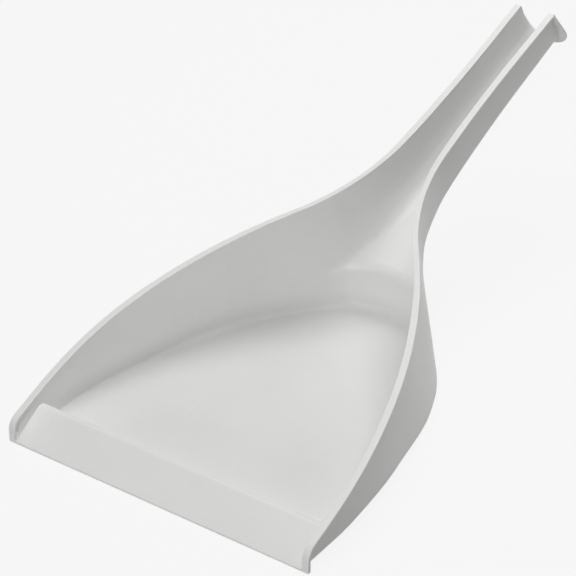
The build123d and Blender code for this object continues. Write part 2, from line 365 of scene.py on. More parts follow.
def between(pair, share):
    """Value at a share of the way from the first of a pair to the second."""
    return pair[0] + (pair[1] - pair[0]) * share


def outline_slope(reach, inset):
    """How fast the outline widens along the pan."""
    return half_width(reach + 0.5, inset) - half_width(reach - 0.5, inset)


def channel_level(reach):
    """Level of the channel's floor: it climbs the neck, then follows the grip."""
    ahead = reach - CHANNEL_KNEE_REACH
    inside = np.clip(ahead, -CHANNEL_KNEE_BLEND, CHANNEL_KNEE_BLEND)
    sag = (CHANNEL_GRIP_SLOPE - CHANNEL_NECK_SLOPE) * (inside**2 + CHANNEL_KNEE_BLEND**2)
    knee = inside * (CHANNEL_NECK_SLOPE + CHANNEL_GRIP_SLOPE) / 2 + sag / (4 * CHANNEL_KNEE_BLEND)
    before = np.minimum(ahead + CHANNEL_KNEE_BLEND, 0) * CHANNEL_NECK_SLOPE
    after = np.maximum(ahead - CHANNEL_KNEE_BLEND, 0) * CHANNEL_GRIP_SLOPE
    return knee + before + after - CHANNEL_KNEE_DEPTH


def ease(reach, start):
    """Smooth step that starts this far before the channel's knee."""
    first = CHANNEL_KNEE_REACH - start
    return blend(reach, first, first + SIDE_CHANGE)


def channel_side(reach):
    """Level from which a side of the channel leans in towards its floor, and its lean."""
    bend = -between((NECK_BEND_DEPTH, GRIP_BEND_DEPTH), ease(reach, BEND_START))
    lean_in = between((SILL_LEAN_IN, NECK_LEAN_IN), ease(reach, NECK_LEAN_START))
    lean_in = lean_in + (GRIP_LEAN_IN - NECK_LEAN_IN) * ease(reach, GRIP_LEAN_START)
    return bend, np.arctan2(lean_in, bend - channel_level(reach))


def both(a, b, radius):
    """Room inside two spaces at once, with the corner between them rounded."""
    corner = np.hypot(np.maximum(radius - a, 0), np.maximum(radius - b, 0))
    return np.maximum(radius, np.minimum(a, b)) - corner


def either(a, b, radius):
    """Room inside one space or the other, with the edge between them rounded."""
    edge = np.hypot(np.maximum(radius + a, 0), np.maximum(radius + b, 0))
    return np.minimum(-radius, np.maximum(a, b)) + edge


def floor_level(y, face):
    """Height of the floor, which runs out under the front lip."""
    return face.floor * between((FRONT_FLOOR_SHARE, 1), blend(y, *FLOOR_THICKENS))


def room(x, reach, level, face):
    """Distance inside a face of the sheet, above its floor and between its walls."""
    y, z = to_world(reach, level)
    half = wall_half(reach, face)
    spread = between(face.spreads, blend(y, *SPREAD_CHANGES)) * (1 - blend(z, 0, SPREAD_HEIGHT))
    below = np.interp(reach, UNDER_REACH[1:], UNDER_LEVEL[1:]) - level
    draft = HANDLE_DRAFT * blend(reach, *DRAFT_GROWS) * np.clip(below, 0, GRIP_BEND_DEPTH)
    wall = (half + spread - draft - np.abs(x)) / np.sqrt(1 + outline_slope(reach, RIM_WIDTH) ** 2)

    ahead = y - (BACK_REACH - BACK_RADIUS) + z * tan(BACK_LEAN)
    flank = np.abs(x) * cos(BACK_FLANK) + ahead * sin(BACK_FLANK)
    round_part = ahead > np.abs(x) * tan(BACK_FLANK)
    back = (BACK_RADIUS + face.skin - np.where(round_part, np.hypot(x, ahead), flank)) * cos(BACK_LEAN)

    bend, lean = channel_side(reach)
    inside = wall_half(reach, INNER) - np.abs(x)
    side = inside * np.cos(lean) + (level - bend) * np.sin(lean) + face.skin
    base = level - channel_level(reach) + face.skin
    channel = both(base, side, face.neck_round)

    corner = between(face.corners, blend(reach, *CORNER_SHRINKS))
    post_foot, ramp_foot, middle_foot, back_foot = face.feet
    foot = between((post_foot, ramp_foot), blend(y, *POST_FOOT_ENDS))
    foot = foot + (middle_foot - ramp_foot) * blend(y, *RAMP_FOOT_ENDS)
    foot = foot + (back_foot - middle_foot) * blend(y, *BACK_FOOT_STARTS)
    sides = both(wall, either(back, channel, face.sill), corner)
    return both(z - floor_level(y, face), sides, foot)


def slope_of_room(x, reach, level, face):
    """Direction in which the room grows, by small steps each way."""
    step = 0.02
    across = room(x + step, reach, level, face) - room(x - step, reach, level, face)
    along = room(x, reach + step, level, face) - room(x, reach - step, level, face)
    up = room(x, reach, level + step, face) - room(x, reach, level - step, face)
    return np.stack([across, along, up], axis=-1) / (2 * step)


def settle(x, reach, level, face):
    """Moves points onto the rounded face by Newton's method."""
    points = np.stack([x, reach, level], axis=-1)
    for _ in range(SETTLE_ROUNDS):
        miss = room(points[..., 0], points[..., 1], points[..., 2], face)
        slope = slope_of_room(points[..., 0], points[..., 1], points[..., 2], face)
        size = np.maximum(np.sum(slope**2, axis=-1), LEAST_SLOPE_SQUARE)
        points = points - (np.clip(miss, -LONGEST_MOVE, LONGEST_MOVE) / size)[..., None] * slope
    return points


def drawn_to_world(vectors):
    """Turns points or directions from the outline's plane into X, Y and Z."""
    y, z = to_world(vectors[..., 1], vectors[..., 2])
    return np.stack([vectors[..., 0], y, z], axis=-1)


def unit(vectors):
    """The same directions, each of length one."""
    return vectors / np.maximum(np.linalg.norm(vectors, axis=-1, keepdims=True), 1e-12)


# Columns of the floor, from the left wall to the right wall
SHARE = np.concatenate([np.linspace(0, 1, FLOOR_SHARES + 1)[:-1], np.ones(len(NEAR))])
EXTRA = np.concatenate([np.zeros(FLOOR_SHARES), NEAR[-1] - NEAR[::-1]])
COLUMN_SIDE = np.concatenate([-np.ones(len(SHARE) - 1), np.ones(len(SHARE))])
COLUMN_SHARE = np.concatenate([SHARE[:0:-1], SHARE])
COLUMN_EXTRA = np.concatenate([EXTRA[:0:-1], EXTRA])
COLUMNS = len(COLUMN_SHARE)


def column_x(half):
    """Place across the pan of every floor column, where the wall is this far out."""
    scale = np.minimum(1, half / NEAR_ROOM)
    return COLUMN_SIDE * (COLUMN_SHARE * (half - NEAR[-1] * scale) + COLUMN_EXTRA * scale)


def floor_height(reach, face):
    """Level of the floor at a distance along the outline's plane."""
    return (face.floor - reach * sin(LEAN)) / cos(LEAN)


def back_height(reach, face):
    """Level of the leaning back wall over each floor column."""
    x = np.abs(column_x(wall_half(reach, face)))
    radius = BACK_RADIUS + face.skin
    arc = np.sqrt(np.maximum(radius**2 - x**2, 0))
    flank = radius * sin(BACK_FLANK) - (x - radius * cos(BACK_FLANK)) / tan(BACK_FLANK)
    curve = BACK_REACH - BACK_RADIUS + np.where(x < radius * cos(BACK_FLANK), arc, flank)
    along = cos(LEAN) + sin(LEAN) * tan(BACK_LEAN)
    return (reach * along - curve) / (sin(LEAN) - cos(LEAN) * tan(BACK_LEAN))


def channel_height(reach, face):
    """Level of the channel's floor and sides over each floor column."""
    x = np.abs(column_x(wall_half(reach, face)))
    bend, lean = channel_side(reach)
    side = bend - (face.skin + (wall_half(reach, INNER) - x) * np.cos(lean)) / np.sin(lean)
    return np.maximum(channel_level(reach) - face.skin, side)


def crossing(rise, low, high, rounds=50):
    """Reach at which a rising difference passes zero, column by column."""
    low = np.full(COLUMNS, low)
    high = np.full(COLUMNS, high)
    for _ in range(rounds):
        middle = (low + high) / 2
        over = rise(middle) > 0
        high = np.where(over, middle, high)
        low = np.where(over, low, middle)
    return (low + high) / 2


# Rows of the sheet: behind the front edge, over the floor, up the back, along the channel
RAMP_END = RAMP_HEEL_REACH + RAMP_HEEL_FILLET
ARC_TURN = pi / 2 - FRONT_RIM_SLOPE
ARC_INSIDE = RIM_FRONT_RADIUS - RIM_THICKNESS
ARC_START = RIM_FRONT_HEIGHT - RIM_FRONT_RADIUS * tan(ARC_TURN / 2)
ARC_ROWS = np.linspace(0, ARC_TURN, POST_ARC_STEPS)
FRONT_ROWS = np.concatenate(
    [RIM_THICKNESS + ARC_INSIDE * (1 - np.cos(ARC_ROWS)), [11.0, 15.0, 20.0, 26.0, 32.0]]
)
FLOOR_LENGTH = 170.0
FLOOR_STEPS = 32
FLOOR_ROWS = np.concatenate(
    [np.linspace(0, 1 - NEAR[-1] / FLOOR_LENGTH, FLOOR_STEPS), 1 - NEAR[-2::-1] / FLOOR_LENGTH]
)
BACK_ROWS = np.concatenate(
    [[0.02, 0.05, 0.09, 0.14, 0.2], np.linspace(0.27, 0.8, 10), [0.86, 0.91, 0.95, 0.98]]
)
CHANNEL_LENGTH = 212.0
CHANNEL_ROWS = np.concatenate([NEAR, np.linspace(13, 80, 24), np.linspace(84, CHANNEL_LENGTH, 34)])
CHANNEL_ROWS = CHANNEL_ROWS / CHANNEL_LENGTH
HEEL_ROW = len(FRONT_ROWS)
BACK_START_ROW = HEEL_ROW + FLOOR_STEPS - 1
SILL_ROW = HEEL_ROW + len(FLOOR_ROWS) + len(BACK_ROWS)
NECK_START_ROW = SILL_ROW + len(NEAR) - 1

# Where to look for the foot of the back wall, the sill and the handle's end
FOOT_BETWEEN = (120.0, 262.0)
SILL_BEFORE = 300.0
END_BETWEEN = (380.0, 480.0)


def sheet_floor(face):
    """Sharp start of the sheet between its walls: reach and level by row and column."""
    heel = RAMP_END * cos(LEAN) + face.floor * sin(LEAN)
    foot = crossing(lambda s: back_height(s, face) - floor_height(s, face), *FOOT_BETWEEN)
    sill = crossing(lambda s: back_height(s, face) - channel_height(s, face), foot, SILL_BEFORE)
    stop = END_REACH * cos(END_SKEW) + END_LEVEL * sin(END_SKEW) - FLANGE_THICKNESS
    end = crossing(
        lambda s: s * cos(END_SKEW) + channel_height(s, face) * sin(END_SKEW) - stop, *END_BETWEEN
    )
    reaches = []
    levels = []
    for y in FRONT_ROWS:
        reach, level = to_draw(np.full(COLUMNS, y), floor_level(y, face))
        reaches.append(reach)
        levels.append(level)
    for share in FLOOR_ROWS:
        reach = heel + (foot - heel) * share
        reaches.append(reach)
        levels.append(floor_height(reach, face))
    for share in BACK_ROWS:
        reach = foot + (sill - foot) * share
        reaches.append(reach)
        levels.append(back_height(reach, face))
    for share in CHANNEL_ROWS:
        reach = sill + (end - sill) * share
        reaches.append(reach)
        levels.append(channel_height(reach, face))
    reaches = np.array(reaches)
    x = column_x(wall_half(reaches, face))
    return x, reaches, np.array(levels)


def rounded_path(corners, radii, steps=ARC_STEPS):
    """Points and turning angles along straight runs joined by arcs."""
    points = [np.array(corners[0])]
    angles = [atan2(corners[1][1] - corners[0][1], corners[1][0] - corners[0][0])]
    for before, corner, after, radius in zip(corners, corners[1:], corners[2:], radii):
        start = atan2(corner[1] - before[1], corner[0] - before[0])
        stop = atan2(after[1] - corner[1], after[0] - corner[0])
        reach = radius * tan(abs(stop - start) / 2)
        side = 1 if stop > start else -1
        first = np.array(corner) - reach * np.array([cos(start), sin(start)])
        centre = first + side * radius * np.array([-sin(start), cos(start)])
        for angle in np.linspace(start, stop, steps):
            points.append(centre + side * radius * np.array([sin(angle), -cos(angle)]))
            angles.append(angle)
    points.append(np.array(corners[-1]))
    angles.append(angles[-1])
    return np.array(points), np.array(angles)


RIM_LINE, RIM_ANGLES = rounded_path(
    [
        (0.0, 0.0),
        (0.0, RIM_FRONT_HEIGHT),
        (FRONT_RIM_END, FRONT_END_HEIGHT),
        (PAN_RIM_END, PAN_END_HEIGHT),
        (HANDLE_REACH + RIM_OVERRUN, HANDLE_HEIGHT + RIM_OVERRUN * tan(GRIP_RIM_SLOPE)),
    ],
    [RIM_FRONT_RADIUS, RIM_BEND_RADIUS, RIM_BEND_RADIUS],
)
UNDER_LINE = RIM_LINE + RIM_THICKNESS * np.stack([np.sin(RIM_ANGLES), -np.cos(RIM_ANGLES)], axis=-1)
UNDER_REACH, UNDER_LEVEL = to_draw(UNDER_LINE[:, 0], UNDER_LINE[:, 1])


def under_rim_at(y):
    """Height of the rim's lower face, and the angle of its run."""
    height = np.interp(y, UNDER_LINE[1:, 0], UNDER_LINE[1:, 1])
    angle = np.interp(y, UNDER_LINE[1:, 0], RIM_ANGLES[1:])
    return height, angle


def rim_rows(bottom_reach, bottom_level):
    """Where each row of the sheet meets the lower face of the rim, as Y, Z and angle."""
    bottom_y, _ = to_world(bottom_reach, bottom_level)
    square_y = np.interp(bottom_reach, UNDER_REACH[1:], UNDER_LINE[1:, 0])
    lean = blend(bottom_reach, *ROWS_TURN_SQUARE)
    y = bottom_y + (square_y - bottom_y) * lean
    stop = HANDLE_REACH * cos(END_LEAN) + HANDLE_HEIGHT * sin(END_LEAN) - FLANGE_THICKNESS
    along_end = UNDER_LINE[1:, 0] * cos(END_LEAN) + UNDER_LINE[1:, 1] * sin(END_LEAN)
    end_y = np.interp(stop, along_end, UNDER_LINE[1:, 0])
    share = np.zeros(len(y))
    share[SILL_ROW:] = CHANNEL_ROWS**3
    y = y + (end_y - y[-1]) * share
    height, angle = under_rim_at(y)
    height[: len(ARC_ROWS)] = ARC_START + ARC_INSIDE * np.sin(ARC_ROWS)
    angle[: len(ARC_ROWS)] = pi / 2 - ARC_ROWS
    return y, height, angle


def wall_points(x_side, bottom_reach, bottom_level, top_reach, top_level, face):
    """Points up one wall, from just above the floor to the rim, by row."""
    height = np.hypot(top_level - bottom_level, top_reach - bottom_reach)
    near = NEAR[None, 1:] * np.minimum(1, height / NEAR_ROOM)[:, None] / height[:, None]
    rest = np.linspace(0, 1, WALL_SHARES + 1)[None, 1:]
    shares = np.concatenate([near, near[:, -1:] + (1 - near[:, -1:]) * rest], axis=1)
    reach = bottom_reach[:, None] + (top_reach - bottom_reach)[:, None] * shares
    level = bottom_level[:, None] + (top_level - bottom_level)[:, None] * shares
    return x_side * wall_half(reach, face), reach, level


def build_face(face, rim_y, rim_height):
    """Points and outward normals of one whole face of the sheet, by row and column."""
    x, reach, level = sheet_floor(face)
    top_reach, top_level = to_draw(rim_y, rim_height)
    left = wall_points(-1, reach[:, 0], level[:, 0], top_reach, top_level, face)
    right = wall_points(1, reach[:, -1], level[:, -1], top_reach, top_level, face)
    sharp = [
        np.concatenate([wall_l[:, ::-1], middle, wall_r], axis=1)
        for wall_l, middle, wall_r in zip(left, (x, reach, level), right)
    ]
    points = settle(*sharp, face)
    top = np.stack(sharp, axis=-1)
    points[:, 0] = top[:, 0]
    points[:, -1] = top[:, -1]
    slope = slope_of_room(points[..., 0], points[..., 1], points[..., 2], face)
    outward = 1 if face is INNER else -1
    return drawn_to_world(points), unit(drawn_to_world(slope)) * outward


class Builder:
    """Gathers sheets of quads, welds their points and makes one mesh with smooth normals."""

    def __init__(self):
        self.points = []
        self.quads = []
        self.normals = []
        self.edge_highlight_and_wear = []
        self.count = 0

    def add(self, points, normals=None, facing=None, edge_highlight_and_wear=0.0):
        """A grid of points. Without normals it is flat and turned to the facing direction."""
        rows, columns = points.shape[:2]
        ids = self.count + np.arange(rows * columns).reshape(rows, columns)
        quads = np.stack([ids[:-1, :-1], ids[1:, :-1], ids[1:, 1:], ids[:-1, 1:]], axis=-1).reshape(-1, 4)
        flat = points.reshape(-1, 3)
        corners = flat[quads - self.count]
        across = np.cross(corners[:, 2] - corners[:, 0], corners[:, 3] - corners[:, 1])
        if normals is None:
            wanted = np.broadcast_to(facing, points.shape).reshape(-1, 3)[quads - self.count].mean(axis=1)
        else:
            wanted = normals.reshape(-1, 3)[quads - self.count].mean(axis=1)
        wrong = np.sum(across * wanted, axis=1) < 0
        quads[wrong] = quads[wrong][:, ::-1]
        if normals is None:
            across[wrong] *= -1
            corner_normals = np.repeat(unit(across)[:, None], 4, axis=1)
        else:
            corner_normals = normals.reshape(-1, 3)[quads - self.count]
        self.points.append(flat)
        self.quads.append(quads)
        self.normals.append(corner_normals)
        self.edge_highlight_and_wear.append(np.broadcast_to(edge_highlight_and_wear, (rows, columns)).reshape(-1))
        self.count += rows * columns

    def make(self, name, material):
        """One object in the frame, in metres."""
        points = np.concatenate(self.points)
        _, first, weld = np.unique(np.round(points, 4), axis=0, return_index=True, return_inverse=True)
        weld = weld.reshape(-1)
        faces = []
        normals = []
        for quad, corner_normals in zip(weld[np.concatenate(self.quads)], np.concatenate(self.normals)):
            keep = [k for k in range(4) if quad[k] != quad[k - 1]]
            if len(keep) > 2 and len({quad[k] for k in keep}) == len(keep):
                faces.append([int(quad[k]) for k in keep])
                normals.extend(corner_normals[k] for k in keep)
        welded = points[first] + np.array([0, FRONT_Y, 0])
        mesh = bpy.data.meshes.new(name)
        mesh.from_pydata((welded * MM).tolist(), [], faces)
        mesh.polygons.foreach_set("use_smooth", [True] * len(mesh.polygons))
        mesh.normals_split_custom_set([tuple(normal) for normal in normals])
        # Weight of the paler rounded edges at each point: partly wear, partly painted highlight
        highlight_and_wear_on_edges = mesh.attributes.new("edge_highlight_and_wear", "FLOAT", "POINT")
        highlight_and_wear_on_edges.data.foreach_set("value", np.concatenate(self.edge_highlight_and_wear)[first].astype(np.float32))
        mesh.materials.append(material)
        piece = bpy.data.objects.new(name, mesh)
        bpy.context.scene.collection.objects.link(piece)
        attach(piece, "root")
        return piece


def block(inner, outer, rows, columns, name, material):
    """One section of the sheet, closed all round."""
    inner_points, inner_normals = (grid[rows, columns] for grid in inner)
    outer_points, outer_normals = (grid[rows, columns] for grid in outer)
    builder = Builder()
    builder.add(inner_points, inner_normals)
    builder.add(outer_points, outer_normals)
    for edge, beside in ((0, 1), (-1, -2)):
        side = np.stack([inner_points[edge], outer_points[edge]])
        builder.add(side, facing=np.stack([inner_points[edge] - inner_points[beside]] * 2))
        side = np.stack([inner_points[:, edge], outer_points[:, edge]])
        builder.add(side, facing=np.stack([inner_points[:, edge] - inner_points[:, beside]] * 2))
    return builder.make(name, material)


def rounded_profile(corners, radii, steps=6):
    """Closed outline with rounded corners: points, outward normals, and a weight on each round for its
    paler edge (partly wear, partly painted highlight), counter-clockwise.

    A sharp corner comes twice, once for each of its sides.
    """
    points = []
    normals = []
    edge_highlight_and_wear = []
    count = len(corners)
    for index in range(count):
        before = np.array(corners[index - 1])
        corner = np.array(corners[index])
        after = np.array(corners[(index + 1) % count])
        into = unit(corner - before)
        away = unit(after - corner)
        start = atan2(into[1], into[0])
        turn = (atan2(away[1], away[0]) - start + pi) % (2 * pi) - pi
        radius = radii[index]
        for share in np.linspace(0, 1, steps if radius else 2):
            angle = start + turn * share
            outward = np.array([sin(angle), -cos(angle)])
            if radius:
                side = 1 if turn > 0 else -1
                centre = corner - into * radius * tan(abs(turn) / 2)
                centre = centre + side * radius * np.array([-into[1], into[0]])
                points.append(centre + side * radius * outward)
            else:
                points.append(corner)
            normals.append(outward)
            edge_highlight_and_wear.append(sin(pi * share) if radius else 0.0)
    points.append(points[0])
    normals.append(normals[0])
    edge_highlight_and_wear.append(edge_highlight_and_wear[0])
    return np.array(points), np.array(normals), np.array(edge_highlight_and_wear)


def fan(builder, outline, facing):
    """Flat cap over a closed outline."""
    middle = np.broadcast_to(outline.mean(axis=0), outline.shape)
    builder.add(np.stack([outline, middle]), facing=np.array(facing, dtype=float))


def make_rim(side, rim_y, rim_height, rim_angle, name, material):
    """Lip along the top of a wall and down its front end, with rounded edges."""
    # The rim's rounded edges are painted paler: partly wear, partly painted highlight
    profile, profile_normals, edge_highlight_and_wear = rounded_profile(
        [(0, 0), (RIM_WIDTH, 0), (RIM_WIDTH, RIM_THICKNESS), (0, RIM_THICKNESS)],
        [0, RIM_LOWER_EDGE, RIM_OUTER_EDGE, RIM_INNER_EDGE],
    )
    front = np.linspace(0, ARC_START, POST_STEPS)[:-1]
    y = np.concatenate([np.full(len(front), RIM_THICKNESS), rim_y])
    z = np.concatenate([front, rim_height])
    angle = np.concatenate([np.full(len(front), pi / 2), rim_angle])
    last_y = rim_y[-1] + FLANGE_THICKNESS / cos(END_LEAN - GRIP_RIM_SLOPE) * cos(GRIP_RIM_SLOPE)
    y = np.append(y, last_y)
    z = np.append(z, under_rim_at(last_y)[0])
    angle = np.append(angle, angle[-1])
    lean = angle + (END_LEAN - angle) * blend(y, rim_y[-1] - END_TURN_RUN, rim_y[-1])
    stretch = 1 / np.cos(lean - angle)
    up = np.stack([-np.sin(lean), np.cos(lean)], axis=-1)
    rise = profile[None, :, 1] * stretch[:, None]
    y_grid = y[:, None] + rise * up[:, :1]
    z_grid = z[:, None] + rise * up[:, 1:]
    reach, _ = to_draw(y_grid, z_grid)
    inset = rim_width(reach) * (1 - profile[None, :, 0] / RIM_WIDTH)
    points = np.stack([side * half_width(reach, inset), y_grid, z_grid], axis=-1)
    aside = unit(np.stack([np.ones_like(reach), -outline_slope(reach, inset)], axis=-1))
    out_y, out_z = to_world(aside[..., 1], 0)
    outward = np.stack([side * aside[..., 0], out_y, out_z], axis=-1)
    upward = np.stack([np.zeros(len(y)), -np.sin(angle), np.cos(angle)], axis=-1)[:, None]
    normals = outward * profile_normals[None, :, :1] + upward * profile_normals[None, :, 1:]
    builder = Builder()
    builder.add(points, unit(normals), edge_highlight_and_wear=edge_highlight_and_wear)
    fan(builder, points[0], (0, 0, -1))
    fan(builder, points[-1], (0, cos(END_LEAN), sin(END_LEAN)))
    return builder.make(name, material)


def ramp_half(reach, level, rounds=40):
    """Half the ramp's width: it ends at the posts and walls, and inside the rounding of their feet."""
    low = np.zeros(len(reach))
    high = wall_half(reach, OUTER)
    for _ in range(rounds):
        middle = (low + high) / 2
        inside = room(middle, reach, level, OUTER) > -FOOT_SLACK
        low = np.where(inside, middle, low)
        high = np.where(inside, high, middle)
    whole = wall_half(reach, INNER)
    y, _ = to_world(reach, level)
    behind_post = blend(y, RIM_THICKNESS, 2 * RIM_THICKNESS)
    return between((whole, np.minimum(low - RAMP_SIDE_GAP, whole)), behind_post)


def ramp_columns(half):
    """Places across the ramp by column, and how far each banks up to the wall beside it."""
    bank = np.linspace(pi / 2, 0, RAMP_FILLET_STEPS)
    gap = np.append(0, RAMP_TUCK + RAMP_END_FILLET * (1 - np.sin(bank)))[:, None]
    bank = np.append(pi / 2, bank)[:, None]
    flat = np.linspace(-1, 1, RAMP_COLUMNS)[1:-1, None] * (half - gap[-1])
    x = np.concatenate([gap - half, flat, (half - gap)[::-1]])
    return x, np.concatenate([bank, np.zeros((len(flat), 1)), -bank[::-1]])


def make_ramp(name, material):
    """Bent sheet behind the front edge, with a rounded crest, open underneath."""
    rise = atan2(RAMP_CREST_HEIGHT - RAMP_LIP, RAMP_CREST_REACH)
    fall = atan2(RAMP_CREST_HEIGHT - FLOOR, RAMP_HEEL_REACH - RAMP_CREST_REACH)
    crest = np.array([RAMP_CREST_REACH, RAMP_CREST_HEIGHT])
    inward = np.array([-sin((fall - rise) / 2), -cos((fall - rise) / 2)])
    crest_inside = crest + inward * RAMP_SHEET / cos((rise + fall) / 2)
    toe = ((RAMP_SHEET / cos(rise) - RAMP_LIP) / tan(rise), 0)
    heel_inside = (RAMP_HEEL_REACH + (FLOOR - RAMP_SHEET / cos(fall)) / tan(fall), RAMP_SINK)
    heel_top = FLOOR - RAMP_SINK
    upper = rounded_path(
        [(0, 0), (0, RAMP_LIP), crest, (RAMP_HEEL_REACH, heel_top), (RAMP_END, heel_top)],
        [RAMP_NOSE_RADIUS, RAMP_CREST_RADIUS, RAMP_HEEL_FILLET],
    )
    lower = rounded_path(
        [(0, 0), toe, crest_inside, heel_inside, (RAMP_END, RAMP_SINK)],
        [RAMP_TOE_RADIUS, RAMP_CREST_RADIUS - RAMP_SHEET, RAMP_TOE_RADIUS],
    )
    # Nose and crest rounds are painted paler: partly wear, partly a painted highlight along the crest
    hump = np.sin(np.linspace(0, pi, ARC_STEPS))
    highlight_and_wear_on_edges = np.concatenate([[0], hump, hump, 0 * hump, [0]])
    builder = Builder()
    faces = []
    for (line, turn), side in ((upper, 1), (lower, -1)):
        y, z = line[:, 0], line[:, 1]
        x, bank = ramp_columns(ramp_half(*to_draw(y, z)))
        grown = blend(y, *RAMP_FILLET_GROWS) * (1 - blend(y, *RAMP_FILLET_FADES)) * (side > 0)
        lift = RAMP_END_FILLET * (1 - np.cos(bank)) * grown
        tilt = np.arctan2(np.sin(bank) * grown, np.cos(bank))
        square = np.stack([0 * y, -np.sin(turn), np.cos(turn)], axis=-1)
        points = np.stack(np.broadcast_arrays(x, y, z), axis=-1) + lift[..., None] * square
        normals = np.cos(tilt)[..., None] * square + np.sin(tilt)[..., None] * np.array([1, 0, 0])
        builder.add(points, side * normals, edge_highlight_and_wear=highlight_and_wear_on_edges if side > 0 else 0.0)
        faces.append(points)
    top, bottom = faces
    for edge, direction in ((0, -1.0), (-1, 1.0)):
        builder.add(np.stack([top[:, edge], bottom[:, edge]]), facing=np.array([0, direction, 0]))
        builder.add(np.stack([top[edge], bottom[edge]]), facing=np.array([direction, 0, 0]))
    return builder.make(name, material)


def make_flange(inner_edge, outer_edge, name, material):
    """Collar round the end of the channel, with a flared mouth and rounded edges."""
    down = np.array([0, sin(END_LEAN), -cos(END_LEAN)])
    out = np.array([0, cos(END_LEAN), sin(END_LEAN)])
    corner = np.array([0, HANDLE_REACH, HANDLE_HEIGHT]) - FLANGE_THICKNESS * out
    top_half = half_width(END_REACH, 0)
    bulge_half = top_half + FLANGE_BULGE
    centre_depth = FLANGE_DROP - bulge_half
    depth = (outer_edge - corner) @ down
    beside = np.sign(outer_edge[:, 0]) * (top_half + FLANGE_BULGE * depth / centre_depth)
    ray = unit(np.stack([outer_edge[:, 0], depth - centre_depth], axis=-1))
    low = depth > centre_depth
    rim_x = np.where(low, bulge_half * ray[:, 0], beside)
    rim_depth = np.where(low, centre_depth + bulge_half * ray[:, 1], depth)
    rim = corner + rim_x[:, None] * np.array([1, 0, 0]) + rim_depth[:, None] * down
    away = unit(rim - inner_edge)
    flare = MOUTH_FLARE * blend(depth, RIM_THICKNESS, RIM_THICKNESS + MOUTH_FADE)[:, None]
    flare_end = FLANGE_THICKNESS - MOUTH_EDGE * (1 - np.sin(flare))

    # Each step round the section: start, way ahead and outward, the same of its normal, and its weight of
    # paler edge, partly wear and partly painted highlight
    steps = [(inner_edge, 0, 0, np.sin(flare), -np.cos(flare), 0)]
    for share in np.linspace(0, 1, MOUTH_STEPS):
        angle = flare + (pi / 2 - flare) * share
        ahead = flare_end + MOUTH_EDGE * (np.sin(angle) - np.sin(flare))
        aside = flare_end * np.tan(flare) + MOUTH_EDGE * (np.cos(flare) - np.cos(angle))
        steps.append((inner_edge, ahead, aside, np.sin(angle), -np.cos(angle), 0))
    for angle in np.linspace(pi / 2, -pi / 2, FLANGE_EDGE_STEPS):
        centre = FLANGE_EDGE if angle < 0 else FLANGE_THICKNESS - FLANGE_EDGE
        ahead = centre + FLANGE_EDGE * sin(angle)
        steps.append((rim, ahead, FLANGE_EDGE * (cos(angle) - 1), sin(angle), cos(angle), cos(angle)))
    steps.append((outer_edge, 0, 0, -1, 0, 0))
    points = np.stack([step[0] + out * step[1] + away * step[2] for step in steps], axis=1)
    normals = np.stack([out * step[3] + away * step[4] for step in steps], axis=1)
    builder = Builder()
    builder.add(points, normals, edge_highlight_and_wear=np.array([step[5] for step in steps]))
    builder.add(np.stack([outer_edge, inner_edge]), facing=-out)
    for end in (0, -1):
        fan(builder, np.concatenate([points[end], points[end][:1]]), -down)
    return builder.make(name, material)


